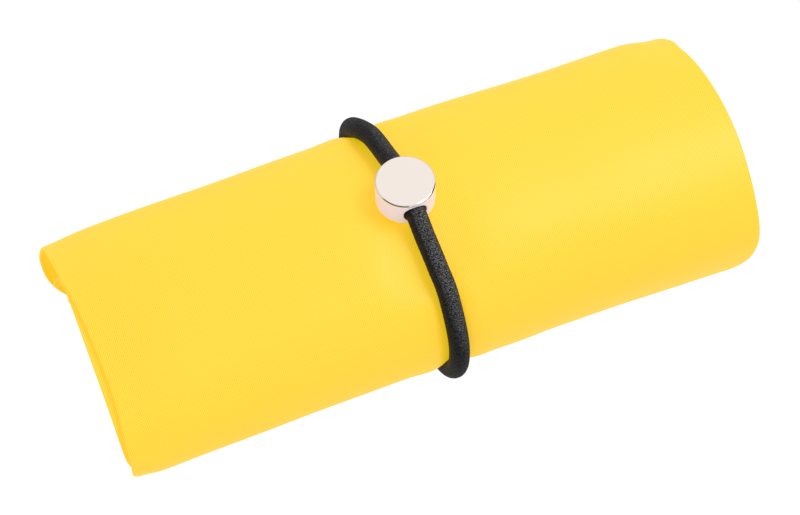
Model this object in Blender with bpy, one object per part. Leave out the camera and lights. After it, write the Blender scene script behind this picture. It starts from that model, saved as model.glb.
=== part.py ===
"""Foldable tote bag, folded in thirds, rolled up and held by an elastic loop with a metal bead.

The roll lies along X with its middle, and the loop, at x = 0. The loop passes under the roll and
holds it off the ground, so only the fuller right part sags down to rest on z = 0. The outer end of
the fabric is under the roll, at the back, and the fabric winds from there towards -Y, up the
front, over the top and down the back. Lengths below are in millimetres and become metres when a
mesh is made.
"""

import math

import bmesh
import bpy
from mathutils import Matrix, Vector

MM = 0.001

# The roll
ROLL_LEFT = -70.0
ROLL_RIGHT = 69.0
ROLL_BOTTOM = 4.4
ROLL_TOP = 40.0
TOP_RADIUS = 37.4
TOP_HALF_ANGLE = math.radians(27.0)
FULL_TURNS = 3
SIDE_STEPS = 9
TOP_STEPS = 4

# The folded fabric: each panel is three plies thick, with air held between them
PANEL_THICKNESS = 0.6
BAG_GAP = 1.0
TURN_GAP = 0.5
TURN_PITCH = 2 * PANEL_THICKNESS + BAG_GAP + TURN_GAP
BACK_PANEL_DEPTH = PANEL_THICKNESS + BAG_GAP
BACK_PANEL_PROUD = 1.5

# How the roll settles: flatter and narrower to the left, fuller to the right, where it sags to
# the ground
LEFT_FLATTENING = 0.33
LEFT_NARROWING = 0.08
TAPER_START = 3.0
TAPER_POWER = 1.5
RIGHT_RISE = 0.06
SAG_START = 3.0
SAG_END = 20.0
SAG_DEPTH = 16.0
RIGHT_BULGE = 2.5
BULGE_START = 40.0
BULGE_CENTRE_Y = -8.0
BULGE_HALF_Y = 24.0

# Thread
SEAM_THICKNESS = 0.4
SEAM_WIDTH = 3.0
SEAM_INSET = 4.0
HEM_THICKNESS = 0.3
HEM_WIDTH = 2.0
HEM_INSET = 2.0
HEM_STAGGER = 2.3
HEM_SPACING = 0.25

# Handles: straps folded to and fro in the core
STRAP_WIDTH = 25.0
STRAP_THICKNESS = 0.45
STRAP_PITCH = 0.75
STRAP_LAYERS = 6
STRAP_HALF_RUN = 55.0
STRAP_END_X = 33.0
STRAP_CLEARANCE = 0.9
STRAP_GAP = 0.3
TACK_HALF = 9.0
TACK_BAR = 0.9
TACK_THICKNESS = 0.3
TACK_X = 44.0

# Elastic cord: a loop whose braided sleeve meets end to end under the roll
CORD_RADIUS = 2.0
CORD_SLEEVE_INNER = 1.4
CORD_CORE_RADIUS = 1.1
CORD_LIFT_TOP = 3.8
CORD_RADIUS_GAIN = 3.2
CORD_GROUND_GAP = 0.05
CORD_END_GAP = 0.4
CORD_SIDE_STEPS = 14
CORD_TOP_STEPS = 8

# Bead: its bore lies a little below the cord's top, and below the middle of the drum
BEAD_RADIUS = 6.3
BEAD_HEIGHT = 6.5
BEAD_HOLE_RADIUS = 2.5
BEAD_CHAMFER = 0.3
BEAD_HOLE_SAG = 0.25
BEAD_HOLE_LOW = 0.1

# Lines across the roll where meshes have vertices
CROSS_LINES = (ROLL_LEFT, -56, -43, -29, -15, -3, 3, 8, 14, 20, 38, 56, ROLL_RIGHT)


class Oval:
    """Outline of the roll in the YZ plane: a flat underside, two round sides and a wide top arc.

    Distance along it starts at the back end of the flat and runs towards -Y. All arcs meet
    without a corner.
    """

    def __init__(self, bottom, top, top_radius, half_angle):
        self.bottom = bottom
        self.top_radius = top_radius
        self.half_angle = half_angle
        self.top_centre = top - top_radius
        corner = top - top_radius * (1 - math.cos(half_angle))
        self.side_radius = (corner - bottom) / (1 + math.cos(half_angle))
        self.side_centre = bottom + self.side_radius
        self.flat_half = (top_radius - self.side_radius) * math.sin(half_angle)
        self.side_turn = math.pi - half_angle

    def stops(self):
        """(kind, start angle, turn) of each stretch, in order."""
        front = -math.pi / 2
        top = front - self.side_turn
        back = top - 2 * self.half_angle
        return (
            ("flat", front, 0.0),
            ("front", front, self.side_turn),
            ("top", top, 2 * self.half_angle),
            ("back", back, self.side_turn),
        )

    def point(self, kind, angle, share, depth):
        """Point at a share of the stretch, moved inwards by depth."""
        if kind == "flat":
            return self.flat_half * (1 - 2 * share), self.bottom + depth
        if kind == "top":
            centre_y, centre_z, radius = 0.0, self.top_centre, self.top_radius
        else:
            centre_y = self.flat_half * (-1 if kind == "front" else 1)
            centre_z, radius = self.side_centre, self.side_radius
        reach = radius - depth
        return centre_y + reach * math.cos(angle), centre_z + reach * math.sin(angle)


ROLL = Oval(ROLL_BOTTOM, ROLL_TOP, TOP_RADIUS, TOP_HALF_ANGLE)
CORD = Oval(
    CORD_RADIUS + CORD_GROUND_GAP,
    ROLL_TOP + CORD_LIFT_TOP,
    TOP_RADIUS + CORD_RADIUS_GAIN,
    TOP_HALF_ANGLE,
)


def smooth(share):
    share = min(max(share, 0.0), 1.0)
    return share * share * (3 - 2 * share)


def settle(x, y, z):
    """Moves a point of an even roll to where it lies in the real one."""
    height = z - ROLL_BOTTOM
    left = max(TAPER_START - x, 0.0) / (TAPER_START - ROLL_LEFT)
    rise = max(x - SAG_START, 0.0) / (ROLL_RIGHT - SAG_START)
    sag = smooth((x - SAG_START) / (SAG_END - SAG_START)) * max(1 - height / SAG_DEPTH, 0.0)
    bulge = max(x - BULGE_START, 0.0) / (ROLL_RIGHT - BULGE_START)
    facing = max(1 - ((y - BULGE_CENTRE_Y) / BULGE_HALF_Y) ** 2, 0.0)
    height *= 1 - LEFT_FLATTENING * left**TAPER_POWER + RIGHT_RISE * rise
    x += RIGHT_BULGE * bulge**2 * facing
    return x, y * (1 - LEFT_NARROWING * left**TAPER_POWER), ROLL_BOTTOM * (1 - sag) + height


def winding():
    """(kind, angle, share, depth) along the rolled fabric, from its outer end to its inner end."""
    places = []
    for turn in range(FULL_TURNS + 1):
        for kind, start, sweep in ROLL.stops():
            if turn == FULL_TURNS and kind == "back":
                break
            steps = {"flat": 1, "top": TOP_STEPS}.get(kind, SIDE_STEPS)
            for step in range(1 if places else 0, steps + 1):
                share = step / steps
                sink = smooth(2 * share - 1) if kind == "back" else 0.0
                depth = TURN_PITCH * (turn + sink)
                places.append((kind, start - sweep * share, share, depth))
    return places


WINDING = winding()


def add_object(name, mesh_builder, material, smooth_angle=35.0):
    """Makes the object from a bmesh in millimetres."""
    bmesh.ops.remove_doubles(mesh_builder, verts=mesh_builder.verts, dist=1e-5)
    bmesh.ops.recalc_face_normals(mesh_builder, faces=mesh_builder.faces)
    bmesh.ops.scale(mesh_builder, vec=(MM, MM, MM), verts=mesh_builder.verts)
    mesh = bpy.data.meshes.new(name)
    mesh_builder.to_mesh(mesh)
    mesh_builder.free()
    mesh.shade_smooth()
    mesh.set_sharp_from_angle(angle=math.radians(smooth_angle))
    mesh.materials.append(material)
    obj = bpy.data.objects.new(name, mesh)
    bpy.context.scene.collection.objects.link(obj)
    return obj


def skin(rings, closed_ends=True):
    """A bmesh around rings of points, each ring joined to the next."""
    builder = bmesh.new()
    rows = [[builder.verts.new(point) for point in ring] for ring in rings]
    count = len(rows[0])
    for row, following in zip(rows, rows[1:]):
        for index in range(count):
            after = (index + 1) % count
            corners = (row[index], row[after], following[after], following[index])
            builder.faces.new(corners)
    if closed_ends:
        builder.faces.new(rows[0])
        builder.faces.new(reversed(rows[-1]))
    return builder


def wound_strip(name, material, outer_depth, thickness, x_lines, places):
    """A flat strip wound with the fabric, outer_depth below the outside of its turn."""
    rings = []
    for kind, angle, share, depth in places:
        outer = ROLL.point(kind, angle, share, depth + outer_depth)
        inner = ROLL.point(kind, angle, share, depth + outer_depth + thickness)
        ring = [settle(x, *outer) for x in x_lines]
        ring += [settle(x, *inner) for x in reversed(x_lines)]
        rings.append(ring)
    return add_object(name, skin(rings), material)


def lines_between(low, high):
    return [low] + [x for x in CROSS_LINES if low < x < high] + [high]


def across_strip(name, material, outer_depth, place, back_along):
    """A line of thread along X, on the fabric near one of its places."""
    kind, angle, share, depth = place
    rings = []
    for x in lines_between(ROLL_LEFT + SEAM_INSET, ROLL_RIGHT - SEAM_INSET):
        corners = []
        for along, extra in ((0, 0), (1, 0), (1, HEM_THICKNESS), (0, HEM_THICKNESS)):
            distance = back_along + along * HEM_WIDTH
            if kind == "flat":
                moved_share = share + distance / (2 * ROLL.flat_half)
                moved_angle = angle
            else:
                moved_share = share
                moved_angle = angle + distance / (ROLL.top_radius - depth)
            spot = ROLL.point(kind, moved_angle, moved_share, depth + outer_depth + extra)
            corners.append(settle(x, *spot))
        rings.append(corners)
    return add_object(name, skin(rings), material)


def arc_points(centre_x, centre_z, radius, start, sweep, steps):
    """Points strictly inside an arc in the XZ plane."""
    points = []
    for step in range(1, steps):
        angle = start + sweep * step / steps
        x = centre_x + radius * math.cos(angle)
        points.append((x, centre_z + radius * math.sin(angle)))
    return points


def strap_path():
    """Middle line of a folded strap in the XZ plane, with both of its ends in layer 0."""
    run = lines_between(-STRAP_HALF_RUN, STRAP_HALF_RUN)
    path = [(x, 0.0) for x in reversed(lines_between(-STRAP_HALF_RUN, -STRAP_END_X))]
    for layer in range(1, STRAP_LAYERS):
        rightward = layer % 2 == 1
        end_x = -STRAP_HALF_RUN if rightward else STRAP_HALF_RUN
        sweep = -math.pi if rightward else math.pi
        middle = STRAP_PITCH * (layer - 0.5)
        path += arc_points(end_x, middle, STRAP_PITCH / 2, -math.pi / 2, sweep, 4)
        path += [(x, STRAP_PITCH * layer) for x in (run if rightward else reversed(run))]
    outer_turn = STRAP_PITCH * (STRAP_LAYERS - 1) / 2
    path += arc_points(STRAP_HALF_RUN, outer_turn, outer_turn, math.pi / 2, -math.pi, 8)
    return path + [(x, 0.0) for x in reversed(lines_between(STRAP_END_X, STRAP_HALF_RUN))]


def handle(name, material, base_z, upward):
    """A strap folded to and fro in the core. Layer 0 lies at base_z, next to the fabric."""
    path = [Vector(point) for point in strap_path()]
    rings = []
    for index, spot in enumerate(path):
        before = path[max(index - 1, 0)]
        after = path[min(index + 1, len(path) - 1)]
        direction = (after - before).normalized()
        normal = Vector((-direction.y, direction.x)) * STRAP_THICKNESS / 2
        ring = []
        for side, y in ((1, -1), (1, 1), (-1, 1), (-1, -1)):
            edge = spot + side * normal
            height = base_z + upward * (edge.y + STRAP_THICKNESS / 2)
            ring.append(settle(edge.x, y * STRAP_WIDTH / 2, height))
        rings.append(ring)
    return add_object(name, skin(rings), material)


def handle_tack(name, material, centre_x, low_z):
    """Box-and-cross stitching, one line of thread as a thin closed body."""
    builder = bmesh.new()
    outer = TACK_HALF
    inner = TACK_HALF - TACK_BAR
    half_bar = TACK_BAR / math.sqrt(2)
    corners, near, far, hub = [], [], [], []
    for quarter in range(4):
        turn = Matrix.Rotation(quarter * math.pi / 2, 3, "Z")
        corners.append(builder.verts.new(turn @ Vector((outer, -outer, 0))))
        near.append(builder.verts.new(turn @ Vector((inner, half_bar - inner, 0))))
        far.append(builder.verts.new(turn @ Vector((inner, inner - half_bar, 0))))
        hub.append(builder.verts.new(turn @ Vector((half_bar, 0, 0))))
    for quarter in range(4):
        after = (quarter + 1) % 4
        side = (corners[quarter], corners[after], far[quarter], near[quarter])
        bar = (corners[after], near[after], hub[after], hub[quarter], far[quarter])
        builder.faces.new(side)
        builder.faces.new(bar)
    builder.faces.new(hub)
    grown = bmesh.ops.extrude_face_region(builder, geom=builder.faces[:])
    raised = [item for item in grown["geom"] if isinstance(item, bmesh.types.BMVert)]
    bmesh.ops.translate(builder, vec=(0, 0, TACK_THICKNESS), verts=raised)
    for vertex in builder.verts:
        x, y, z = vertex.co
        vertex.co = settle(centre_x + x, y, low_z + z)
    return add_object(name, builder, material)


def cord_path(end_gap):
    """Middle line of the loop, from under the roll round by the front and the top.

    With an end gap it stops short of its start. Without one the last point is the first again.
    """
    places = []
    steps = {"flat": 2, "top": CORD_TOP_STEPS}
    for kind, start, sweep in CORD.stops():
        for step in range(steps.get(kind, CORD_SIDE_STEPS)):
            share = step / steps.get(kind, CORD_SIDE_STEPS)
            places.append(CORD.point(kind, start - sweep * share, share, 0.0))
    bottom = places[1][1]
    path = places[2:] + places[:1]
    path = [(-end_gap / 2, bottom), *path, (end_gap / 2, bottom)]
    return [Vector((0.0, y, z)) for y, z in path]


def swept(name, material, path, radius, bore, sides):
    """A round bar along a path in the YZ plane, or a sleeve if bore isn't zero.

    A path that ends where it starts makes a closed ring.
    """
    closed = (path[0] - path[-1]).length < 1e-6
    shells = [[], []]
    for index, spot in enumerate(path):
        before = path[max(index - 1, 0)]
        after = path[min(index + 1, len(path) - 1)]
        direction = (after - before).normalized()
        across = direction.cross(Vector((1, 0, 0)))
        for shell, reach in zip(shells, (radius, bore)):
            ring = []
            for side in range(sides):
                angle = 2 * math.pi * side / sides
                arm = Vector((math.cos(angle), 0, 0)) + across * math.sin(angle)
                ring.append(spot + arm * reach)
            shell.append(ring)
    if not bore:
        return add_object(name, skin(shells[0], not closed), material, 60.0)
    rings = shells[0] + shells[1][::-1] + shells[0][:1]
    return add_object(name, skin(rings, closed_ends=False), material, 60.0)


def cylinder(radius, height, sides):
    builder = bmesh.new()
    bmesh.ops.create_cone(
        builder,
        cap_ends=True,
        segments=sides,
        radius1=radius,
        radius2=radius,
        depth=height,
    )
    return builder


def bead(material):
    """The bead, bored across for the cord. It pivots on the axis of the cord's top arc."""
    hole_z = ROLL_TOP + CORD_LIFT_TOP - BEAD_HOLE_SAG
    pivot = bpy.data.objects.new("bead_pivot", None)
    pivot.location = (0, 0, CORD.top_centre * MM)
    bpy.context.scene.collection.objects.link(pivot)

    obj = add_object("bead", cylinder(BEAD_RADIUS, BEAD_HEIGHT, 48), material)
    cutter_mesh = cylinder(BEAD_HOLE_RADIUS, 4 * BEAD_RADIUS, 24)
    turn = Matrix.Rotation(math.pi / 2, 3, "X")
    bmesh.ops.rotate(cutter_mesh, matrix=turn, verts=cutter_mesh.verts)
    cutter = add_object("bead_bore_cutter", cutter_mesh, material)
    cutter.hide_render = True
    cutter.display_type = "WIRE"
    for item, rise in ((obj, BEAD_HOLE_LOW), (cutter, 0.0)):
        item.parent = pivot
        item.location = (0, 0, (hole_z + rise - CORD.top_centre) * MM)

    chamfer = obj.modifiers.new("rim", "BEVEL")
    chamfer.width = BEAD_CHAMFER * MM
    chamfer.segments = 2
    chamfer.limit_method = "ANGLE"
    bore = obj.modifiers.new("bore", "BOOLEAN")
    bore.operation = "DIFFERENCE"
    bore.solver = "EXACT"
    bore.object = cutter
    return obj


def make_material(name, colour, roughness, metallic=0.0):
    material = bpy.data.materials.new(name)
    material.use_nodes = True
    shader = material.node_tree.nodes["Principled BSDF"]
    shader.inputs["Base Color"].default_value = (*colour, 1.0)
    shader.inputs["Roughness"].default_value = roughness
    shader.inputs["Metallic"].default_value = metallic
    material.diffuse_color = (*colour, 1.0)
    return material


def clear_scene():
    for obj in list(bpy.data.objects):
        bpy.data.objects.remove(obj)


def make_bag(fabric, webbing, thread):
    proud = [ROLL_LEFT - BACK_PANEL_PROUD, *CROSS_LINES]
    wound_strip("front_panel", fabric, 0.0, PANEL_THICKNESS, CROSS_LINES, WINDING)
    wound_strip("back_panel", fabric, BACK_PANEL_DEPTH, PANEL_THICKNESS, proud, WINDING)

    seam_depth = PANEL_THICKNESS + (BAG_GAP - SEAM_THICKNESS) / 2
    for name, middle in (("left", ROLL_LEFT + SEAM_INSET), ("right", ROLL_RIGHT - SEAM_INSET)):
        lines = lines_between(middle - SEAM_WIDTH / 2, middle + SEAM_WIDTH / 2)
        places = WINDING[1:-1]
        wound_strip("side_seam_" + name, thread, seam_depth, SEAM_THICKNESS, lines, places)

    hem_depth = PANEL_THICKNESS + HEM_SPACING
    back_hem_depth = BACK_PANEL_DEPTH - HEM_SPACING - HEM_THICKNESS
    across_strip("bottom_seam", thread, seam_depth, WINDING[0], HEM_INSET)
    across_strip("hem_thread_front", thread, hem_depth, WINDING[-1], HEM_INSET)
    back_inset = HEM_INSET + HEM_STAGGER
    across_strip("hem_thread_back", thread, back_hem_depth, WINDING[-1], back_inset)

    core_depth = FULL_TURNS * TURN_PITCH + BACK_PANEL_DEPTH + PANEL_THICKNESS
    core_floor = ROLL_BOTTOM + core_depth
    stack = STRAP_PITCH * (STRAP_LAYERS - 1) + STRAP_THICKNESS
    low = core_floor + STRAP_CLEARANCE
    high = low + 2 * stack + STRAP_GAP
    handle("handle_front", webbing, low, 1)
    handle("handle_back", webbing, high, -1)
    tack_gap = (STRAP_CLEARANCE - TACK_THICKNESS) / 2
    for side, x in (("left", -TACK_X), ("right", TACK_X)):
        handle_tack("front_handle_tack_" + side, thread, x, core_floor + tack_gap)
        handle_tack("back_handle_tack_" + side, thread, x, high + tack_gap)


def make_loop(braid, rubber):
    sleeve_path = cord_path(CORD_END_GAP)
    swept("cord_sleeve", braid, sleeve_path, CORD_RADIUS, CORD_SLEEVE_INNER, 12)
    swept("cord_core", rubber, cord_path(0.0), CORD_CORE_RADIUS, 0.0, 8)


def main():
    clear_scene()
    fabric = make_material("yellow polyester", (1.0, 0.68, 0.03), 0.5)
    webbing = make_material("yellow strap", (0.95, 0.62, 0.03), 0.6)
    thread = make_material("yellow thread", (0.9, 0.6, 0.05), 0.6)
    braid = make_material("black braid", (0.012, 0.012, 0.013), 0.6)
    rubber = make_material("rubber core", (0.5, 0.42, 0.3), 0.7)
    metal = make_material("polished nickel", (0.9, 0.86, 0.84), 0.15, 1.0)
    make_bag(fabric, webbing, thread)
    make_loop(braid, rubber)
    bead(metal)


main()
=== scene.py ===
"""Looks for the rolled tote bag: fabric, straps, stitching, elastic cord and metal bead.

Lengths are in millimetres and become metres when a mesh is made. The roll lies along X. Its fabric
winds from its outer end, under the roll at the back, towards -Y, up the front and over the top.
"""

import math

import bmesh
import bpy
import numpy as np
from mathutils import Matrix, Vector


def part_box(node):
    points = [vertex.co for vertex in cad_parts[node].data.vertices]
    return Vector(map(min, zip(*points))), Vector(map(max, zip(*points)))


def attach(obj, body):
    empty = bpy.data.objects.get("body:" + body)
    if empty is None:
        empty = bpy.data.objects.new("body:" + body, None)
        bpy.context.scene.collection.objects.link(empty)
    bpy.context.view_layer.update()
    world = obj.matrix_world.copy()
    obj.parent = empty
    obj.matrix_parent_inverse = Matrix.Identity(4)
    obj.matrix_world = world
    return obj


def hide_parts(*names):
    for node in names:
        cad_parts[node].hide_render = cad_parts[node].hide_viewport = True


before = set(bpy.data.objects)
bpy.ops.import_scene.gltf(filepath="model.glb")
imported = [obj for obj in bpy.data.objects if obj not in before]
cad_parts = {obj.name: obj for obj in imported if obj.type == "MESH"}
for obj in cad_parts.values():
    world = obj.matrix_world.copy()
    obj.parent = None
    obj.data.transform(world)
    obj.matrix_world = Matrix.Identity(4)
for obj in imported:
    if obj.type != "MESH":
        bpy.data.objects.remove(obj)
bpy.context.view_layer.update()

MM = 0.001


def node_box(node):
    low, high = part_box(node)
    return Vector(low) / MM, Vector(high) / MM


# The elastic cord, from the frame. Away from the bead it lies tighter on the roll than the CAD loop,
# and crosses it on a slant. Angles are in degrees round the roll from the bead
CORD_LOW, CORD_HIGH = node_box("cord_sleeve")
CORD_RADIUS = (CORD_HIGH.x - CORD_LOW.x) / 2
SLEEVE_INNER = 0.7 * CORD_RADIUS
CORD_END_GAP = 0.4
CORD_TIGHTEN = 0.85
TIGHTEN_START = 9.0
TIGHTEN_SPAN = 8.0
TIGHTEN_END = 82.0
TIGHTEN_FADE = 36.0
CORD_SLANT_FRONT = 1.0
CORD_SLANT_BACK = 2.0
SLANT_START = 4.0
SLANT_SPAN_FRONT = 40.0
SLANT_SPAN_BACK = 52.0
SLANT_END = 178.0
SLANT_FADE = 40.0
BRAID_SWELL = 0.2
BRAID_RELIEF = 0.03
CORE_RADIUS = 1.1

# The roll, from the frame: the cord holds it up, and leaves it some room on top
PANEL_LOW, PANEL_HIGH = node_box("front_panel")
RIGHT_BULGE = 2.5
ROLL_LEFT = PANEL_LOW.x
ROLL_RIGHT = PANEL_HIGH.x - RIGHT_BULGE
ROLL_BOTTOM = CORD_LOW.z + 2 * CORD_RADIUS + 0.35
ROLL_TOP = CORD_HIGH.z - 2 * CORD_RADIUS - 1.8
ROLL_HALF_WIDTH = PANEL_HIGH.y
TOP_HALF_ANGLE = math.radians(27.0)
FULL_TURNS = 3

# The folded fabric: two panels a turn, each of three plies
PANEL_THICKNESS = 0.6
TURN_PITCH = 2.7
BACK_PANEL_DEPTH = 1.6
END_PUFF = 0.35
END_PUFF_REACH = 2.0

# How the roll settles, as in the CAD part, but with its flatter left end let out to the sides
LEFT_FLATTENING = 0.33
LEFT_WIDENING = 0.045
TAPER_START = 3.0
TAPER_POWER = 1.5
RIGHT_RISE = 0.06
SAG_START = 3.0
SAG_END = 20.0
SAG_DEPTH = 16.0
BULGE_START = 40.0
BULGE_CENTRE_Y = -8.0
BULGE_HALF_Y = 24.0

# How far the soft fabric stands proud of its plain solid
PROUD_TOP = 0.9
PROUD_SIDE = 1.95
RIPPLE = 0.2

# How the cord and the bead press the fabric in, the crests beside the cord, and a tuck low at the right
GROOVE = 1.15
GROOVE_HALF = 2.4
CREST = 0.25
CREST_AT = 5.5
CREST_HALF = 3.0
BEAD_TROUGH = 0.95
BEAD_TROUGH_HALF = 9.5
BEAD_TROUGH_ANGLE = 42.0
BEAD_TROUGH_FADE = 12.0
RIGHT_TUCK = 1.2

# How far the left ends of the layers stand from ROLL_LEFT, to +X, at angles round the roll: 90 is the
# top and 180 the front. The outer panel curls away from the rest at the back
OUTER_END = (
    (-90, 6.0), (-62, 3.2), (-50, 0.4), (-40, -1.9), (-28, -2.9), (-10, -3.1), (10, -2.4), (66, -1.8),
    (76, -0.9), (87, -0.3), (107, 0.2), (135, -0.7), (185, -0.7), (205, 1.0), (240, 3.5), (270, 6.0),
)
FIRST_INNER_END = (
    (-90, 6.5), (-40, 3.5), (0, 2.0), (30, 0.4), (50, -3.2), (58, -2.5), (68, -1.3), (97, -1.6),
    (138, -1.5), (160, -1.3), (185, -0.2), (205, 1.6), (240, 4.0), (270, 6.5),
)
INNER_END = (
    (-90, 7.0), (-40, 5.0), (0, 4.0), (30, 2.5), (52, -1.2), (68, 0.8), (95, 2.5), (140, 4.0),
    (185, 5.5), (270, 7.0),
)
LEFT_END_REACH = 22.0

# The curl at the left end, and how the corners of the ends turn in, again at angles round the roll
CURL_ANGLE = 2.0
CURL_HALF_ANGLE = 72.0
CURL_FADE = 30.0
CURL_REACH = 16.0
CURL_CAVITY = 5.8
CORNER_ANGLE = -168.0
CORNER_REACH = 6.0
CORNER_INSET = 0.7
LEFT_DROOP = 1.1
LEFT_DROOP_REACH = 9.0
RIGHT_DROOP = 1.5
RIGHT_DROOP_REACH = 10.0

# Thread: overlocked side seams, hems and the bottom seam
THREAD_RADIUS = 0.17
SEAM_INSET = 4.0
SEAM_HALF_WIDTH = 1.3
SEAM_STITCH = 1.8
SEAM_END = 5.0
SEAM_DEPTH = 1.15
HEM_END = 4.5
HEM_STITCH = 2.4
HEM_HALF_WIDTH = 0.8

# Handles: straps folded to and fro in the core
STRAP_HALF_WIDTH = 12.5
STRAP_THICKNESS = 0.45
STRAP_PITCH = 0.75
STRAP_LAYERS = 6
STRAP_HALF_RUN = 55.0
STRAP_END = 33.0
STRAP_CLEARANCE = 0.9
STRAP_GAP = 0.3


class Oval:
    """A flat underside, two round sides and a wide top arc, all meeting without a corner."""

    def __init__(self, bottom, top, half_width):
        sine, cosine = math.sin(TOP_HALF_ANGLE), math.cos(TOP_HALF_ANGLE)
        side_share = (1 - sine) / (1 + cosine)
        height = top - bottom
        self.bottom = bottom
        self.top_radius = (half_width - side_share * height) / (sine - side_share * (1 - cosine))
        self.top_centre = top - self.top_radius
        self.side_radius = (height - self.top_radius * (1 - cosine)) / (1 + cosine)
        self.flat_half = (self.top_radius - self.side_radius) * sine

    def stretch(self, kind, share):
        """(centre y, centre z, radius, angle) at shares of a stretch, going round by the front."""
        front_end = -math.pi / 2 - (math.pi - TOP_HALF_ANGLE)
        side_z = np.full_like(share, self.bottom + self.side_radius)
        side_radius = np.full_like(share, self.side_radius)
        if kind == "flat":
            angle = np.full_like(share, -math.pi / 2)
            return self.flat_half * (1 - 2 * share), side_z, side_radius, angle
        if kind == "front":
            angle = -math.pi / 2 - (math.pi - TOP_HALF_ANGLE) * share
            return np.full_like(share, -self.flat_half), side_z, side_radius, angle
        if kind == "top":
            angle = front_end - 2 * TOP_HALF_ANGLE * share
            top_z = np.full_like(share, self.top_centre)
            return 0 * share, top_z, np.full_like(share, self.top_radius), angle
        angle = front_end - 2 * TOP_HALF_ANGLE - (math.pi - TOP_HALF_ANGLE) * share
        return np.full_like(share, self.flat_half), side_z, side_radius, angle


ROLL = Oval(ROLL_BOTTOM, ROLL_TOP + PROUD_TOP, ROLL_HALF_WIDTH + PROUD_SIDE)
CORD = Oval(CORD_LOW.z + CORD_RADIUS, CORD_HIGH.z - CORD_RADIUS, CORD_HIGH.y - CORD_RADIUS)


def smooth(share):
    share = np.clip(share, 0.0, 1.0)
    return share * share * (3 - 2 * share)


def settle(x, y, z):
    """Moves points of an even roll to where they lie in the real one."""
    height = z - ROLL_BOTTOM
    left = np.maximum(TAPER_START - x, 0.0) / (TAPER_START - ROLL_LEFT)
    rise = np.maximum(x - SAG_START, 0.0) / (ROLL_RIGHT - SAG_START)
    low = np.maximum(1 - height / SAG_DEPTH, 0.0)
    sag = smooth((x - SAG_START) / (SAG_END - SAG_START)) * low
    bulge = np.maximum(x - BULGE_START, 0.0) / (ROLL_RIGHT - BULGE_START)
    facing = np.maximum(1 - ((y - BULGE_CENTRE_Y) / BULGE_HALF_Y) ** 2, 0.0)
    height = height * (1 - LEFT_FLATTENING * left**TAPER_POWER + RIGHT_RISE * rise)
    wide = y * (1 + LEFT_WIDENING * left**TAPER_POWER)
    bulged = x + RIGHT_BULGE * bulge**2 * facing
    return np.stack([bulged, wide, ROLL_BOTTOM * (1 - sag) + height], axis=-1)


def bump_at(angle, centre, width):
    """1 at the centre angle, falling to 0 about twice the width away.

    The angle is in radians, the centre and the width are in degrees.
    """
    apart = (np.degrees(angle) - centre + 180.0) % 360.0 - 180.0
    return np.exp(-((apart / width) ** 2))


def from_bead(angle):
    """Degrees round the roll from under the bead, positive towards the front."""
    return (np.degrees(angle) - 90.0 + 180.0) % 360.0 - 180.0


def slant(angle):
    """How far the cord stands to +X. It crosses the roll on a slight slant."""
    apart = from_bead(angle)
    away = np.abs(apart)
    front = CORD_SLANT_FRONT * smooth((away - SLANT_START) / SLANT_SPAN_FRONT)
    back = -CORD_SLANT_BACK * smooth((away - SLANT_START) / SLANT_SPAN_BACK)
    return np.where(apart > 0, front, back) * smooth((SLANT_END - away) / SLANT_FADE)


def undulation(x, angle):
    """How far the fabric lies outside an even roll.

    It has soft waves, a groove under the cord with crests beside it, a trough under the bead, full
    shoulders at the back and a tuck low at the front on the right.
    """
    from_cord = x - slant(angle)
    beside_cord = np.exp(-(((np.abs(from_cord) - CREST_AT) / CREST_HALF) ** 2))
    under_cord = np.exp(-((from_cord / GROOVE_HALF) ** 2))
    flank = 1 - bump_at(angle, 90.0, 35.0)
    near_bead = smooth((BEAD_TROUGH_ANGLE - np.abs(from_bead(angle))) / BEAD_TROUGH_FADE)
    under_bead = near_bead * np.exp(-((x / BEAD_TROUGH_HALF) ** 4))
    crest = CREST * beside_cord * (1 - near_bead)
    pressed = GROOVE * under_cord * (0.15 + 0.85 * flank) + BEAD_TROUGH * under_bead
    long_wave = np.sin(0.075 * x + 2 * angle + 0.6) * np.sin(0.031 * x - 4 * angle + 1.9)
    short_wave = np.sin(0.19 * x - 5 * angle + 0.8) * np.sin(0.07 * x + 7 * angle)
    away = 1 - np.exp(-((x / 9.0) ** 2))
    tuck = RIGHT_TUCK * smooth((x - SAG_START) / 25.0) * bump_at(angle, -150.0, 35.0)
    near_middle = 0.4 * np.exp(-(((x - 16.0) / 12.0) ** 2))
    near_left = 0.6 * smooth(-(x + 35.0) / 25.0)
    shoulder = bump_at(angle, 30.0, 40.0) * (near_middle + near_left) * (1 - under_bead)
    ripples = RIPPLE * away * (0.7 * long_wave + 0.3 * short_wave)
    return crest - pressed + ripples + shoulder - tuck


def profile_at(angle, profile):
    """The value of a profile of (degrees, value) pairs, rounded off at its corners."""
    turned = (np.degrees(angle) + 90.0) % 360.0 - 90.0
    degrees, values = zip(*profile)
    return sum(np.interp(turned + step, degrees, values) for step in (-5, -2.5, 0, 2.5, 5)) / 5


def end_shift(x, angle, inside):
    """How far the ends of the roll are from straight: positive moves a point to +X."""
    to_left = smooth(1 - (x - ROLL_LEFT) / LEFT_END_REACH)
    to_right = smooth(1 - (ROLL_RIGHT - x) / 30.0)
    first = np.clip(inside, 0.0, 1.0)
    deeper = np.clip(inside - 1.0, 0.0, 1.0)
    outer = profile_at(angle, OUTER_END)
    inner = profile_at(angle, FIRST_INNER_END)
    innermost = profile_at(angle, INNER_END)
    left = outer + (inner - outer) * first + (innermost - inner) * deeper
    under = bump_at(angle, -125.0, 28.0)
    front = bump_at(angle, 165.0, 30.0)
    back = bump_at(angle, 60.0, 20.0)
    right = -0.9 - 3.2 * under + 0.7 * front + 1.1 * back
    return left * to_left + right * to_right


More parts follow.
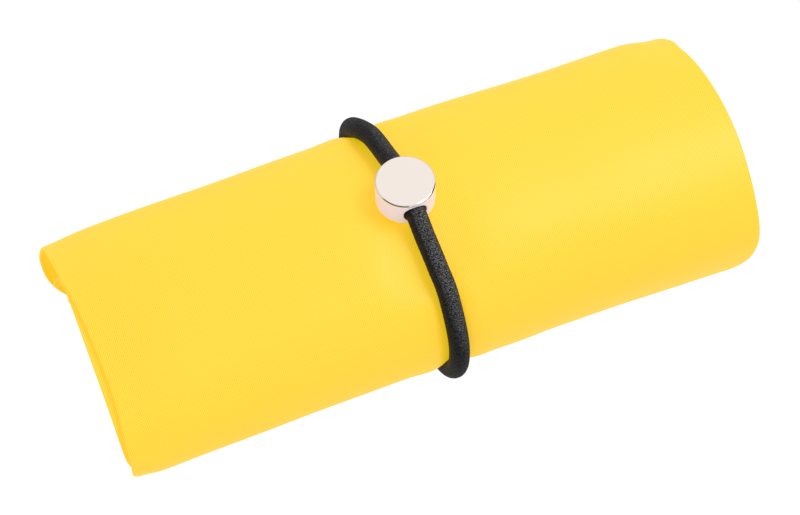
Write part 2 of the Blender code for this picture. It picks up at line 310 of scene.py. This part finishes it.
def end_inset(x, angle, inside):
    """Depth that opens the curl by sinking the layers in it, and turns three corners of the ends in."""
    from_left, from_right = x - ROLL_LEFT, ROLL_RIGHT - x
    apart = np.abs((np.degrees(angle) - CURL_ANGLE + 180.0) % 360.0 - 180.0)
    curl = smooth(1 - from_left / CURL_REACH) * smooth((CURL_HALF_ANGLE - apart) / CURL_FADE)
    curl = curl * np.clip(inside, 0.0, 1.0)
    corner = smooth(1 - from_left / CORNER_REACH) * bump_at(angle, CORNER_ANGLE, 26.0)
    left_droop = smooth(1 - from_left / LEFT_DROOP_REACH) * bump_at(angle, 48.0, 28.0)
    right_droop = smooth(1 - from_right / RIGHT_DROOP_REACH) * bump_at(angle, 46.0, 30.0)
    droop = LEFT_DROOP * left_droop + RIGHT_DROOP * right_droop
    return CURL_CAVITY * curl + CORNER_INSET * corner + droop


# Meshes from grids of points


def make_object(name, points, faces, corner_uvs, material):
    mesh = bpy.data.meshes.new(name)
    mesh.from_pydata((points * MM).tolist(), [], faces.tolist())
    layer = mesh.uv_layers.new(name="fabric_mm")
    layer.data.foreach_set("uv", corner_uvs.astype(np.float32).ravel())
    mesh.shade_smooth()
    mesh.materials.append(material)
    obj = bpy.data.objects.new(name, mesh)
    bpy.context.scene.collection.objects.link(obj)
    return obj


def encloses(points, faces):
    """The signed volume inside the faces: negative if they point inwards."""
    a, b, c, d = (points[faces[:, corner]] for corner in range(4))
    first = np.einsum("ij,ij->i", a, np.cross(b, c)).sum()
    return first + np.einsum("ij,ij->i", a, np.cross(c, d)).sum()


def grid_object(name, grid, uvs, material, ring_of_rows=False):
    """A closed skin over rows of points. Each row is a ring, and is joined to the next row.

    The rows make a ring as well, or the first and last are capped across. uvs has one more column
    than grid, and one more row where the rows make a ring.
    """
    rows, columns = grid.shape[:2]
    number = np.arange(rows * columns).reshape(rows, columns)
    i, j = np.meshgrid(np.arange(rows if ring_of_rows else rows - 1), np.arange(columns), indexing="ij")
    after_i, after_j = (i + 1) % rows, (j + 1) % columns
    corners = (number[i, j], number[i, after_j], number[after_i, after_j], number[after_i, j])
    faces = np.stack(corners, axis=-1).reshape(-1, 4)
    corner_uvs = np.stack((uvs[i, j], uvs[i, j + 1], uvs[i + 1, j + 1], uvs[i + 1, j]), axis=-2)
    corner_uvs = corner_uvs.reshape(-1, 4, 2)
    if not ring_of_rows:
        near = np.arange(columns // 2 - 1)
        far = columns - 1 - near
        for row, turned in ((number[0], True), (number[-1], False)):
            cap = np.stack((row[near], row[near + 1], row[far - 1], row[far]), axis=-1)
            faces = np.concatenate((faces, cap[:, ::-1] if turned else cap))
            corner_uvs = np.concatenate((corner_uvs, np.zeros((len(near), 4, 2))))
    points = grid.reshape(-1, 3)
    if encloses(points, faces) < 0:
        faces, corner_uvs = faces[:, ::-1], corner_uvs[:, ::-1]
    return make_object(name, points, faces, corner_uvs.reshape(-1, 2), material)


def along(path):
    """Distance along a path of points, from its start."""
    steps = np.linalg.norm(np.diff(path, axis=0), axis=1)
    return np.concatenate(([0.0], np.cumsum(steps)))


# Procedural materials


class Shader:
    """A material built node by node around its Principled BSDF."""

    def __init__(self, name, **inputs):
        self.material = bpy.data.materials.new(name)
        self.material.use_nodes = True
        self.nodes = self.material.node_tree.nodes
        self.links = self.material.node_tree.links
        self.surface = self.nodes["Principled BSDF"]
        self.set(self.surface, inputs)

    def set(self, node, inputs):
        """Gives inputs, by name or number, a value or another node's output."""
        for name, value in inputs.items():
            socket = node.inputs[name]
            if isinstance(value, bpy.types.NodeSocket):
                self.links.new(value, socket)
            else:
                socket.default_value = value

    def node(self, kind, settings=None, **inputs):
        node = self.nodes.new("ShaderNode" + kind)
        for name, value in (settings or {}).items():
            setattr(node, name, value)
        self.set(node, inputs)
        return node

    def math(self, operation, first, second=0.0):
        node = self.node("Math", {"operation": operation})
        self.set(node, {0: first, 1: second})
        return node.outputs[0]

    def uv(self):
        """The two distances in mm along the fabric, or round and along the cord."""
        split = self.node("SeparateXYZ", Vector=self.node("UVMap").outputs["UV"])
        return split.outputs["X"], split.outputs["Y"]

    def wave(self, u, v, pitch_u, pitch_v):
        """Sine of a slanted line pattern: pitch_u apart across u, and pitch_v across v."""
        phase_u = self.math("MULTIPLY", u, math.tau / pitch_u)
        phase_v = self.math("MULTIPLY", v, math.tau / pitch_v)
        return self.math("SINE", self.math("ADD", phase_u, phase_v))

    def noise(self, scale, detail=2.0):
        place = self.node("NewGeometry").outputs["Position"]
        return self.node("TexNoise", Vector=place, Scale=scale, Detail=detail).outputs["Fac"]

    def between(self, factor, first, second):
        mix = self.node("Mix", {"data_type": "RGBA"})
        self.set(mix, {0: factor, 6: (*first, 1.0), 7: (*second, 1.0)})
        return mix.outputs[2]

    def range(self, value, low, high):
        return self.math("ADD", self.math("MULTIPLY", value, high - low), low)

    def bump(self, height, depth_mm, strength=1.0):
        bump = self.node("Bump", Height=height, Distance=depth_mm * MM, Strength=strength)
        self.set(self.surface, {"Normal": bump.outputs["Normal"]})

    def finish(self, **inputs):
        self.set(self.surface, inputs)
        return self.material


def polyester():
    """Thin yellow plain weave: the yarn crossings are tiny paler dots, in relief and with painted
    sheen: their paler, bluer base colour stands for light glancing off each crossing.

    The glow is painted light: it stands for the light that comes through thin fabric, and keeps the
    fabric's shaded parts bright yellow. The inner turns get less of it, which paints them darker, as
    shade.
    """
    shader = Shader("yellow_polyester")
    u, v = shader.uv()
    crossings = shader.math("ADD", shader.wave(u, v, 0.54, 0.71), shader.wave(u, v, 0.54, -0.71))
    weave = shader.range(crossings, 0.5, 0.75)
    painted_sheen_dot = shader.node("MapRange", {"interpolation_type": "SMOOTHSTEP"}, Value=weave)
    shader.set(painted_sheen_dot, {"From Min": 0.45, "From Max": 0.85})
    painted_sheen_dot = painted_sheen_dot.outputs["Result"]
    shader.bump(weave, 0.03, 0.5)
    painted_glow = shader.node("MapRange", Value=v)
    shader.set(painted_glow, {"From Min": 130.0, "From Max": 160.0, "To Min": 0.56, "To Max": 0.38})
    return shader.finish(**{
        # Painted sheen: the paler dots in the base colour stand for light off the yarn crossings.
        "Base Color": shader.between(painted_sheen_dot, (0.55, 0.242, 0.0), (0.61, 0.30, 0.155)),
        "Roughness": shader.range(shader.noise(45.0), 0.36, 0.44),
        "Specular IOR Level": 0.27,
        # Painted light: the fabric glows, and the glow fades on the inner turns as painted shade.
        "Emission Color": (1.0, 0.74, 0.0, 1.0),
        "Emission Strength": painted_glow.outputs["Result"],
    })


def webbing():
    """Ribbed yellow strap, with ribs across it."""
    shader = Shader("yellow_webbing")
    u, v = shader.uv()
    ribs = shader.wave(u, v, 60.0, 0.8)
    yarns = shader.wave(u, v, 0.7, 80.0)
    weave = shader.range(shader.math("MULTIPLY", ribs, yarns), 0.5, 1.0)
    shader.bump(weave, 0.08, 0.8)
    return shader.finish(**{
        "Base Color": shader.between(weave, (0.85, 0.47, 0.004), (0.98, 0.64, 0.01)),
        "Roughness": 0.6,
        "Sheen Weight": 0.3,
    })


def thread():
    """Twisted yellow sewing thread."""
    shader = Shader("yellow_thread")
    twist = shader.node("TexWave", {"bands_direction": "DIAGONAL"}, Scale=900.0, Distortion=0.4)
    shader.set(twist, {"Vector": shader.node("NewGeometry").outputs["Position"]})
    shader.bump(twist.outputs["Fac"], 0.05, 0.7)
    return shader.finish(**{
        "Base Color": shader.between(twist.outputs["Fac"], (0.80, 0.46, 0.01), (1.0, 0.70, 0.05)),
        "Roughness": 0.5,
        "Sheen Weight": 0.2,
    })


def braid():
    """Black braided sleeve: fine crossing strands, with painted highlights: grey specks in the base
    colour, strongest on the side that faces the lamp.
    """
    shader = Shader("black_braid")
    u, v = shader.uv()
    one_way = shader.wave(u, v, 0.52, 0.62)
    other_way = shader.wave(u, v, 0.52, -0.62)
    knit = shader.range(shader.math("MULTIPLY", one_way, other_way), 0.5, 1.0)
    fuzz = shader.noise(2600.0, 3.0)
    height = shader.math("ADD", knit, shader.math("MULTIPLY", fuzz, 0.6))
    shader.bump(height, 0.12, 1.0)
    # Painted highlight: grey glints in the base colour, masked to the side of the cord that faces the
    # overhead lamp.
    painted_glint = shader.node("MapRange", Value=shader.noise(4400.0, 1.0))
    shader.set(painted_glint, {"From Min": 0.42, "From Max": 0.76})
    painted_glint = shader.math("MULTIPLY", painted_glint.outputs["Result"], shader.range(knit, 0.4, 1.0))
    lit = shader.node("VectorMath", {"operation": "DOT_PRODUCT"})
    shader.set(lit, {0: shader.node("NewGeometry").outputs["Normal"], 1: (0.33, -0.35, 0.88)})
    glint_band = shader.node("MapRange", Value=lit.outputs["Value"])
    shader.set(glint_band, {"From Min": 0.5, "From Max": 0.95, "To Min": 0.2})
    painted_glint = shader.math("MULTIPLY", painted_glint, glint_band.outputs["Result"])
    return shader.finish(**{
        "Base Color": shader.between(painted_glint, (0.001, 0.001, 0.0011), (0.30, 0.30, 0.31)),
        "Roughness": shader.range(fuzz, 0.4, 0.6),
        "Specular IOR Level": 0.15,
    })


def rubber():
    shader = Shader("natural_rubber")
    grain = shader.noise(700.0, 4.0)
    shader.bump(grain, 0.05, 0.5)
    return shader.finish(**{
        "Base Color": shader.between(grain, (0.40, 0.31, 0.20), (0.56, 0.46, 0.33)),
        "Roughness": 0.7,
    })


def bead_metal():
    """Nickel plate with a faint warm tint: polished on top and on its edges, mostly diffuse round its
    side, where a lilac tint and a faint glow are painted light, set so the side comes out pinkish white
    among the yellow fabric.
    """
    shader = Shader("nickel_with_painted_side")
    facing = shader.node("SeparateXYZ", Vector=shader.node("TexCoord").outputs["Normal"]).outputs["Z"]
    up = shader.node("MapRange", Value=facing)
    shader.set(up, {"From Min": 0.02, "From Max": 0.2})
    up = up.outputs["Result"]
    return shader.finish(**{
        # Painted light: the side's lilac base colour and its faint glow stand for how the side is lit,
        # not for its metal.
        "Base Color": shader.between(up, (0.80, 0.73, 0.88), (0.91, 0.82, 0.76)),
        "Metallic": shader.range(up, 0.05, 1.0),
        "Roughness": shader.range(shader.noise(1500.0, 3.0), 0.08, 0.12),
        "Emission Color": (0.9, 0.8, 1.0, 1.0),
        "Emission Strength": shader.range(up, 0.1, 0.0),
    })


# Fabric


def winding():
    """Rows of values along the rolled fabric from its outer end.

    They are the turn, the centre y and z, the radius, the angle, and the depth of the turn. The angle
    runs on from turn to turn, so values between two rows can be interpolated.
    """
    pieces = []
    kinds = {"flat": 8, "front": 22, "top": 16, "back": 34}
    for turn in range(FULL_TURNS + 1):
        for number, (kind, steps) in enumerate(kinds.items()):
            if turn == FULL_TURNS and kind == "back":
                break
            share = np.linspace(0.0, 1.0, steps + 1)[1 if pieces else 0:]
            sink = smooth(2 * share - 1) if kind == "back" else 0 * share
            turns = turn + (number + share) / len(kinds)
            centre_y, centre_z, radius, angle = ROLL.stretch(kind, share)
            angle = angle - math.tau * turn
            depth = TURN_PITCH * (turn + sink)
            pieces.append(np.stack([turns, centre_y, centre_z, radius, angle, depth]))
    return np.concatenate(pieces, axis=1)


WINDING = winding()


def on_roll(x, depth, layer, turns, centre_y, centre_z, radius, angle, turn_depth):
    """Points of the settled roll at x, and at a depth in their turn.

    layer is 0 for the front panel and 1 for what lies within it. All values broadcast.
    """
    x, angle = np.broadcast_arrays(x, angle)
    inside = layer + 2 * smooth((turns - 0.97) / 0.05)
    reach = radius - turn_depth - depth + undulation(x, angle) - end_inset(x, angle, inside)
    y = centre_y + reach * np.cos(angle)
    z = centre_z + reach * np.sin(angle)
    return settle(x + end_shift(x, angle, inside), y, z)


def along_winding(distance):
    """The winding's values at distances along the middle of the front panel, from its outer end."""
    middle = on_roll(0.0, PANEL_THICKNESS / 2, 0, *WINDING)
    place = along(middle)
    return [np.interp(distance, place, values) for values in WINDING]


def winding_length():
    return along(on_roll(0.0, PANEL_THICKNESS / 2, 0, *WINDING))[-1]


def fold_end():
    """(inset, depth) points across a panel's end: a round fold, a slit, then a ply's edge."""
    fold = 0.17
    turn = np.linspace(-math.pi / 2, math.pi / 2, 6)
    nose = np.stack([fold - fold * np.cos(turn), fold + fold * np.sin(turn)], axis=1)
    rest = [(1.5, 0.36), (3.2, 0.37), (3.2, 0.42), (1.5, 0.43), (0.86, 0.44), (0.8, 0.5), (0.86, 0.58)]
    return np.concatenate((nose[1:], rest))


def panel_ring(left, right):
    """(x, depth) round a panel's section: outside, right end, inside, left end."""
    stops = (left, left + 5, -9, 9, right - 5, right)
    counts = (14, 26, 22, 24, 14)
    pieces = [np.linspace(a, b, count, endpoint=False) for a, b, count in zip(stops, stops[1:], counts)]
    x = np.concatenate(pieces)[1:]
    end = fold_end()
    from_end = np.minimum(x - left, right - x)
    thick = PANEL_THICKNESS + END_PUFF * np.exp(-from_end / END_PUFF_REACH)
    swell = 1 + END_PUFF / PANEL_THICKNESS
    ring_x = np.concatenate((x, right - end[:, 0], x[::-1], left + end[::-1, 0]))
    ring_depth = np.concatenate((0 * x, end[:, 1] * swell, thick[::-1], end[::-1, 1] * swell))
    return ring_x, ring_depth


def panel(name, depth, layer, material):
    ring_x, ring_depth = panel_ring(ROLL_LEFT, ROLL_RIGHT)
    rows = [values[:, None] for values in WINDING]
    grid = on_roll(ring_x[None, :], depth + ring_depth[None, :], layer, *rows)
    middle = grid[:, len(ring_x) // 8]
    around = np.broadcast_to(along(middle)[:, None], (len(grid), len(ring_x) + 1))
    across = np.broadcast_to(np.append(ring_x, ring_x[0]), around.shape)
    obj = grid_object(name + "_fabric", grid, np.stack([across, around], axis=-1), material)
    return stands_for(obj, name, "bag")


def stands_for(obj, node, body):
    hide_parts(node)
    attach(obj, body)
    return obj


# Stitching


def tube(name, path, radius, material, sides=6):
    """A thread along a path of points, in mm."""
    turn = np.linspace(0, math.tau, sides + 1)
    grid = round_line(path, (0.0, 0.31, 0.95), radius, turn[:-1])
    uvs = np.stack(np.broadcast_arrays(radius * turn[None, :], along(path)[:, None]), axis=-1)
    return grid_object(name, grid, uvs, material)


def side_seam(name, middle_x, material):
    """Overlocked edge: a thread running to and fro across the seam between the two panels."""
    distance = np.arange(SEAM_END, winding_length() - 2 * SEAM_END, SEAM_STITCH / 2)
    x = middle_x + SEAM_HALF_WIDTH * np.cos(math.pi * np.arange(len(distance)))
    path = on_roll(x, SEAM_DEPTH, 1, *along_winding(distance))
    return stands_for(tube(name + "_thread", path, THREAD_RADIUS, material), name, "bag")


def hem(name, depth, distance, material):
    """A zigzag line of stitching from end to end of the roll."""
    x = np.arange(ROLL_LEFT + HEM_END, ROLL_RIGHT - HEM_END, HEM_STITCH / 2)
    to_and_fro = HEM_HALF_WIDTH * np.cos(math.pi * np.arange(len(x)))
    path = on_roll(x, depth, 1, *along_winding(distance + to_and_fro))
    return stands_for(tube(name + "_stitches", path, THREAD_RADIUS, material), name, "bag")


# Handles


def strap_line():
    """Middle line of a folded strap in the XZ plane, its layers stacked upwards from 0."""
    run = np.linspace(-STRAP_HALF_RUN, STRAP_HALF_RUN, 24)
    points = [np.stack([np.linspace(-STRAP_END, -STRAP_HALF_RUN, 6)[:-1], np.zeros(5)], axis=1)]
    for layer in range(1, STRAP_LAYERS):
        side = -1 if layer % 2 else 1
        bend = np.linspace(-math.pi / 2, math.pi / 2, 9)[:-1]
        x = side * (STRAP_HALF_RUN + STRAP_PITCH / 2 * np.cos(bend))
        points.append(np.stack([x, STRAP_PITCH * (layer - 0.5 + np.sin(bend) / 2)], axis=1))
        points.append(np.stack([-side * run, 0 * run + STRAP_PITCH * layer], axis=1)[:-1])
    tall = STRAP_PITCH * (STRAP_LAYERS - 1) / 2
    bend = np.linspace(math.pi / 2, -math.pi / 2, 17)
    points.append(np.stack([STRAP_HALF_RUN + tall * np.cos(bend), tall + tall * np.sin(bend)], axis=1))
    points.append(np.stack([np.linspace(STRAP_HALF_RUN, STRAP_END, 6)[1:], np.zeros(5)], axis=1))
    return np.concatenate(points)


def strap(name, base_z, upward, material):
    """A strap with rounded edges, folded to and fro in the core of the roll."""
    line = strap_line()
    heading = np.gradient(line, axis=0)
    heading /= np.linalg.norm(heading, axis=1)[:, None]
    normal = np.stack([-heading[:, 1], heading[:, 0]], axis=1)
    half = STRAP_THICKNESS / 2
    bend = np.linspace(-math.pi / 2, math.pi / 2, 5)
    face = np.linspace(-1, 1, 12) * (STRAP_HALF_WIDTH - half)
    edge = STRAP_HALF_WIDTH - half + half * np.cos(bend[1:-1])
    rise = np.sin(bend[1:-1])
    ring_y = np.concatenate((face, edge, face[::-1], -edge))
    ring_n = half * np.concatenate((0 * face - 1, rise, 0 * face + 1, rise[::-1]))
    x = line[:, :1] + ring_n[None, :] * normal[:, :1]
    height = half + line[:, 1:] + ring_n[None, :] * normal[:, 1:]
    grid = settle(x, np.broadcast_to(ring_y, x.shape), base_z + upward * height)
    around = np.append(ring_y, ring_y[0])[None, :]
    uvs = np.stack(np.broadcast_arrays(around, along(line)[:, None]), axis=-1)
    return stands_for(grid_object(name + "_strap", grid, uvs, material), name, "bag")


# The loop


def cord_line(count):
    """Even points along the middle of the cord, from under the roll round by the front."""
    kinds = ("flat", "front", "top", "back", "flat")
    pieces = []
    for number, kind in enumerate(kinds):
        start = 0.5 if number == 0 else 0.0
        end = 0.5 if number == 4 else 1.0
        centre_y, centre_z, radius, angle = CORD.stretch(kind, np.linspace(start, end, 60)[:-1])
        away = np.abs(from_bead(angle))
        begins = smooth((away - TIGHTEN_START) / TIGHTEN_SPAN)
        ends = smooth((TIGHTEN_END - away) / TIGHTEN_FADE)
        reach = radius - CORD_TIGHTEN * begins * ends
        place = (slant(angle), centre_y + reach * np.cos(angle), centre_z + reach * np.sin(angle))
        pieces.append(np.stack(place, axis=1))
    line = np.concatenate(pieces)
    distance = along(line)
    even = np.linspace(CORD_END_GAP / 2, distance[-1] - CORD_END_GAP / 2, count)
    return np.stack([np.interp(even, distance, line[:, axis]) for axis in range(3)], axis=1), even


def round_line(line, across, reach, turn):
    """A grid of points round a line, starting from the direction across it."""
    heading = np.gradient(line, axis=0)
    heading /= np.linalg.norm(heading, axis=1)[:, None]
    across = np.cross(heading, across)
    across /= np.linalg.norm(across, axis=1)[:, None]
    over = np.cross(heading, across)
    ring = np.cos(turn)[None, :, None] * over[:, None] + np.sin(turn)[None, :, None] * across[:, None]
    return line[:, None] + np.broadcast_to(reach, ring.shape[:2])[:, :, None] * ring


def cord_sleeve(material):
    """The braided sleeve, its strands crossing in relief, open where its ends meet."""
    line, distance = cord_line(760)
    turn = np.linspace(0, math.tau, 49)
    one_way = np.sin(8 * turn[None, :-1] + 2.6 * distance[:, None])
    other_way = np.sin(8 * turn[None, :-1] - 2.6 * distance[:, None])
    radius = CORD_RADIUS + BRAID_SWELL + BRAID_RELIEF * (one_way * other_way - 1)
    outer = round_line(line, (1, 0, 0), radius, turn[:-1])
    inner = round_line(line, (1, 0, 0), SLEEVE_INNER, turn[:-1])
    grid = np.concatenate((outer, inner[::-6]))
    lengths = np.concatenate((distance, distance[::-6], distance[:1]))
    uvs = np.stack(np.broadcast_arrays(CORD_RADIUS * turn[None, :], lengths[:, None]), axis=-1)
    obj = grid_object("braided_sleeve", grid, uvs, material, ring_of_rows=True)
    return stands_for(obj, "cord_sleeve", "loop")


def cord_core(material):
    """Rubber strands laid side by side, seen only where the sleeve's ends meet."""
    line, distance = cord_line(300)
    turn = np.linspace(0, math.tau, 37)
    radius = CORE_RADIUS * (1 - 0.12 * np.abs(np.sin(3 * turn[:-1])))
    grid = round_line(line, (1, 0, 0), radius[None, :], turn[:-1])
    uvs = np.stack(np.broadcast_arrays(CORE_RADIUS * turn[None, :], distance[:, None]), axis=-1)
    obj = grid_object("rubber_strands", grid, uvs, material)
    return stands_for(obj, "cord_core", "loop")


class Bead:
    """The bead's own measures: a drum with rounded edges, bored across."""

    fillet = 0.4
    rim = 0.2
    bore = 2.5
    hole_low = 0.1
    patch = 3.5
    patch_steps = 24
    wall_steps = 12
    side_steps = 36

    def __init__(self):
        low, high = node_box("bead")
        self.centre = (low + high) / 2
        self.radius = (high.x - low.x) / 2
        self.half_height = (high.z - low.z) / 2
        self.wall = self.half_height - self.fillet

    def on_wall(self, around, height):
        """Points of the wall at distances round it from the front, and heights."""
        turn = around / self.radius
        return np.stack([self.radius * np.sin(turn), -self.radius * np.cos(turn), height], axis=-1)

    def hole_patch(self):
        """Rows of points from a rectangle on the wall to the hole, over its rim and to the middle."""
        edge = np.linspace(-1, 1, self.patch_steps + 1)[:-1] * self.patch
        rise = np.linspace(-1, 1, self.wall_steps + 1)[:-1] * self.wall
        frame_s = np.concatenate((edge, 0 * rise + self.patch, -edge, 0 * rise - self.patch))
        frame_z = np.concatenate((0 * edge - self.wall, rise, 0 * edge + self.wall, -rise))
        turn = np.arctan2(frame_z, frame_s)
        rows = []
        ring = self.bore + self.rim
        hole_s = self.radius * np.arcsin(ring * np.cos(turn) / self.radius)
        for share in np.linspace(0, 1, 8) ** 0.7:
            around = frame_s + (hole_s - frame_s) * share
            height = frame_z + (ring * np.sin(turn) - self.hole_low - frame_z) * share
            rows.append(self.on_wall(around, height))
        for bend in np.linspace(0, math.pi / 2, 6)[1:]:
            ring = self.bore + self.rim * (1 - math.sin(bend))
            x = ring * np.cos(turn)
            y = self.rim * (1 - math.cos(bend)) - np.sqrt(self.radius**2 - x**2)
            rows.append(np.stack([x, y, ring * np.sin(turn) - self.hole_low], axis=-1))
        rows.append(rows[-1] * (1, 0, 1))
        return np.stack(rows)

    def shell(self):
        """Rows of points from the middle of the bottom over the wall to the middle of the top.

        The wall's own rows are left out at the front and the back, where the hole patches are.
        """
        half = math.pi * self.radius / 2
        front = np.linspace(-self.patch, self.patch, self.patch_steps + 1)
        right = np.linspace(self.patch, 2 * half - self.patch, self.side_steps + 1)
        around = np.concatenate((front[:-1], right[:-1], front[:-1] + 2 * half, right[:-1] + 2 * half))
        turn = around / self.radius
        flat = self.radius - self.fillet
        profile = [(share * flat, self.half_height) for share in (0.02, 0.3, 0.6, 0.85, 1.0)]
        for bend in np.linspace(0, math.pi / 2, 7)[1:]:
            reach = self.radius - self.fillet * (1 - math.sin(bend))
            profile.append((reach, self.wall + self.fillet * math.cos(bend)))
        heights = np.linspace(-1, 1, self.wall_steps + 1) * self.wall
        side = [(self.radius, z) for z in heights[1:-1]]
        profile = [(r, -z) for r, z in profile] + side + profile[::-1]
        r, z = np.array(profile).T[:, :, None]
        return np.stack(np.broadcast_arrays(r * np.sin(turn), -r * np.cos(turn), z), axis=-1)

    def build(self, material):
        points, faces = [], []

        def add(grid, skip=lambda i, j: False):
            start = len(points)
            rows, columns = grid.shape[:2]
            points.extend((grid.reshape(-1, 3)).tolist())
            for i in range(rows - 1):
                for j in range(columns):
                    if skip(i, j):
                        continue
                    after = (j + 1) % columns
                    a, b = start + i * columns, start + (i + 1) * columns
                    faces.append((a + j, a + after, b + after, b + j))

        shell = self.shell()
        cap_rows = (len(shell) - self.wall_steps - 1) // 2

        def in_patch(i, j):
            on_wall = cap_rows <= i < cap_rows + self.wall_steps
            half = self.patch_steps + self.side_steps
            return on_wall and j % half < self.patch_steps

        add(shell, in_patch)
        faces.append(tuple(range(shell.shape[1])))
        faces.append(tuple(range((len(shell) - 1) * shell.shape[1], len(shell) * shell.shape[1])))
        patch = self.hole_patch()
        add(patch)
        add(patch * (-1, -1, 1))
        mesh = bpy.data.meshes.new("bead_drum")
        placed = (np.array(points) + np.array(self.centre)) * MM
        mesh.from_pydata(placed.tolist(), [], faces)
        builder = bmesh.new()
        builder.from_mesh(mesh)
        bmesh.ops.remove_doubles(builder, verts=builder.verts, dist=0.002 * MM)
        bmesh.ops.recalc_face_normals(builder, faces=builder.faces)
        builder.to_mesh(mesh)
        builder.free()
        mesh.shade_smooth()
        mesh.materials.append(material)
        obj = bpy.data.objects.new("bead_drum", mesh)
        bpy.context.scene.collection.objects.link(obj)
        return stands_for(obj, "bead", "bead")


def finish_node(node, material):
    """Gives a CAD node that keeps its shape its real finish."""
    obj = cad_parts[node]
    obj.data.materials.clear()
    obj.data.materials.append(material)


# Studio


def studio():
    floor_mesh = bpy.data.meshes.new("floor")
    reach = 3.0
    corners = [(-reach, -reach, 0), (reach, -reach, 0), (reach, reach, 0), (-reach, reach, 0)]
    floor_mesh.from_pydata(corners, [], [(0, 1, 2, 3)])
    floor = bpy.data.objects.new("floor", floor_mesh)
    bpy.context.scene.collection.objects.link(floor)
    shader = Shader("pale_floor", Roughness=0.9)
    shader.set(shader.surface, {"Base Color": (0.05, 0.05, 0.05, 1), "Emission Color": (1, 1, 1, 1)})
    glossy = shader.node("LightPath").outputs["Is Glossy Ray"]
    strength = shader.range(glossy, 1.02, 0.45)
    shader.set(shader.surface, {"Emission Strength": strength, "Specular IOR Level": 0.0})
    floor_mesh.materials.append(shader.material)

    world = bpy.data.worlds.new("studio")
    world.use_nodes = True
    nodes, links = world.node_tree.nodes, world.node_tree.links
    lit = nodes["Background"]
    lit.inputs["Color"].default_value = (1, 1, 1, 1)
    lit.inputs["Strength"].default_value = 0.8
    seen = nodes.new("ShaderNodeBackground")
    seen.inputs["Color"].default_value = (1, 1, 1, 1)
    mix = nodes.new("ShaderNodeMixShader")
    links.new(nodes.new("ShaderNodeLightPath").outputs["Is Camera Ray"], mix.inputs["Fac"])
    links.new(lit.outputs[0], mix.inputs[1])
    links.new(seen.outputs[0], mix.inputs[2])
    links.new(mix.outputs[0], nodes["World Output"].inputs["Surface"])
    bpy.context.scene.world = world


def dark_screen(name, start, end):
    """A tall black screen round the object, at degrees from +X. Only reflections show it.

    The bead's polished edge mirrors it as a thin dark line.
    """
    turn = np.radians(np.linspace(start, end, 13))
    low = np.stack([np.cos(turn), np.sin(turn), 0 * turn + 0.03], axis=1)
    high = low + (0, 0, 1.3)
    mesh = bpy.data.meshes.new(name)
    faces = [(i, i + 1, i + 14, i + 13) for i in range(12)]
    mesh.from_pydata(np.concatenate((low, high)).tolist(), [], faces)
    screen = bpy.data.objects.new(name, mesh)
    bpy.context.scene.collection.objects.link(screen)
    shader = Shader("black_card", Roughness=1.0)
    shader.set(shader.surface, {"Base Color": (0.0, 0.0, 0.0, 1), "Specular IOR Level": 0.0})
    mesh.materials.append(shader.material)
    screen.visible_camera = False
    screen.visible_diffuse = False
    screen.visible_shadow = False


def softbox(name, place, aim, size, watts):
    light = bpy.data.lights.new(name, "AREA")
    light.shape = "RECTANGLE"
    light.size, light.size_y = size
    light.energy = watts
    lamp = bpy.data.objects.new(name, light)
    lamp.location = place
    lamp.rotation_euler = (Vector(aim) - Vector(place)).to_track_quat("-Z", "Y").to_euler()
    bpy.context.scene.collection.objects.link(lamp)


def camera():
    azimuth, elevation, distance = math.radians(-20.75), math.radians(58.7), 660.8
    aim = Vector((-1.4, -0.6, 18.4))
    back = Vector((
        math.sin(azimuth) * math.cos(elevation),
        -math.cos(azimuth) * math.cos(elevation),
        math.sin(elevation),
    ))
    data = bpy.data.cameras.new("camera")
    data.lens = 139.5
    data.clip_start = 0.01
    obj = bpy.data.objects.new("camera", data)
    obj.location = (aim + distance * back) * MM
    obj.rotation_euler = back.to_track_quat("Z", "Y").to_euler()
    bpy.context.scene.collection.objects.link(obj)
    bpy.context.scene.camera = obj


def main():
    fabric = polyester()
    panel("front_panel", 0.0, 0, fabric)
    panel("back_panel", BACK_PANEL_DEPTH, 1, fabric)

    sewn = thread()
    side_seam("side_seam_left", ROLL_LEFT + SEAM_INSET, sewn)
    side_seam("side_seam_right", ROLL_RIGHT - SEAM_INSET, sewn)
    inner_end = winding_length()
    hem("bottom_seam", SEAM_DEPTH, 3.0, sewn)
    hem("hem_thread_front", PANEL_THICKNESS + THREAD_RADIUS, inner_end - 3.0, sewn)
    hem("hem_thread_back", BACK_PANEL_DEPTH - THREAD_RADIUS, inner_end - 5.5, sewn)
    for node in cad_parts:
        if "tack" in node:
            finish_node(node, sewn)

    belt = webbing()
    core_floor = ROLL_BOTTOM + FULL_TURNS * TURN_PITCH + BACK_PANEL_DEPTH + PANEL_THICKNESS
    stack = STRAP_PITCH * (STRAP_LAYERS - 1) + STRAP_THICKNESS
    low = core_floor + STRAP_CLEARANCE
    strap("handle_front", low, 1, belt)
    strap("handle_back", low + 2 * stack + STRAP_GAP, -1, belt)

    cord_sleeve(braid())
    cord_core(rubber())
    Bead().build(bead_metal())

    studio()
    dark_screen("left_screen", -185, -100)
    dark_screen("right_screen", -35, 10)
    softbox("overhead", (0.6, -0.1, 1.25), (0, 0, 0.02), (0.6, 0.5), 8.5)
    softbox("back_light", (0.24, 0.63, 1.11), (0, 0, 0.02), (1.1, 0.9), 0.6)
    camera()
    bpy.context.scene.view_settings.view_transform = "Standard"


main()
